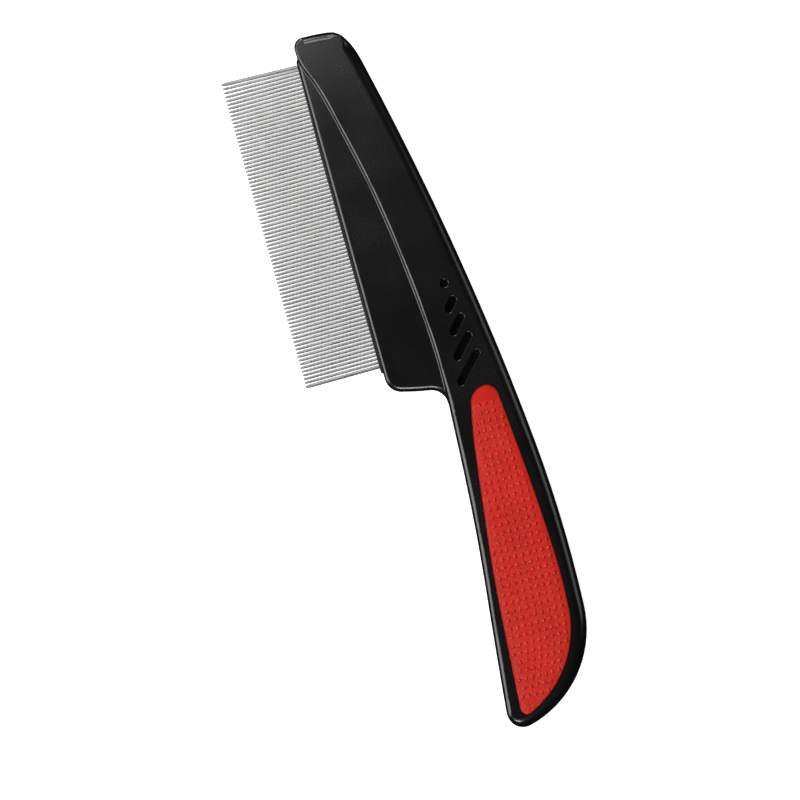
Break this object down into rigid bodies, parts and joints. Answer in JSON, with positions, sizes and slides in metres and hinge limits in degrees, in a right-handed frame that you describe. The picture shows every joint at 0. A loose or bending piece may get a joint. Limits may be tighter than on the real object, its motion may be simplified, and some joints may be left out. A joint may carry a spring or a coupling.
{
  "type": "flea comb",
  "caption": "Flat hand comb for combing fleas out of a pet's coat: curved plastic body, a row of fine straight steel pins along its edge, and soft dotted grip pads on the handle.",
  "frame": {"origin": "middle of the bottom of the overall box, on the plane of the rear face, so the comb lies flat on a surface with its rear face down", "axes": "+X along the back from the head end to the tail of the handle, -Y the way the pins point, +Z out of the front face"},
  "size_m": [0.175, 0.051, 0.01],
  "materials": {
    "body_plastic": "satin black moulded plastic",
    "bar_plastic": "plain black moulded plastic",
    "pin_steel": "drawn stainless steel wire",
    "grip_rubber": "matt red soft moulding with fine stipple and raised dots"
  },
  "bodies": {
    "root": {"front_shell": "body_plastic", "rear_shell": "body_plastic", "front_grip": "grip_rubber", "rear_grip": "grip_rubber", "pin_bar": "bar_plastic", "end_pin_head": "pin_steel", "end_pin_tail": "pin_steel", "pins_01": "pin_steel", "pins_02": "pin_steel", "pins_03": "pin_steel", "pins_04": "pin_steel", "pins_05": "pin_steel", "pins_06": "pin_steel", "pins_07": "pin_steel", "pins_08": "pin_steel", "pins_09": "pin_steel", "pins_10": "pin_steel", "pins_11": "pin_steel", "pins_12": "pin_steel", "pins_13": "pin_steel", "pins_14": "pin_steel", "pins_15": "pin_steel", "pins_16": "pin_steel"}
  },
  "joints": []
}
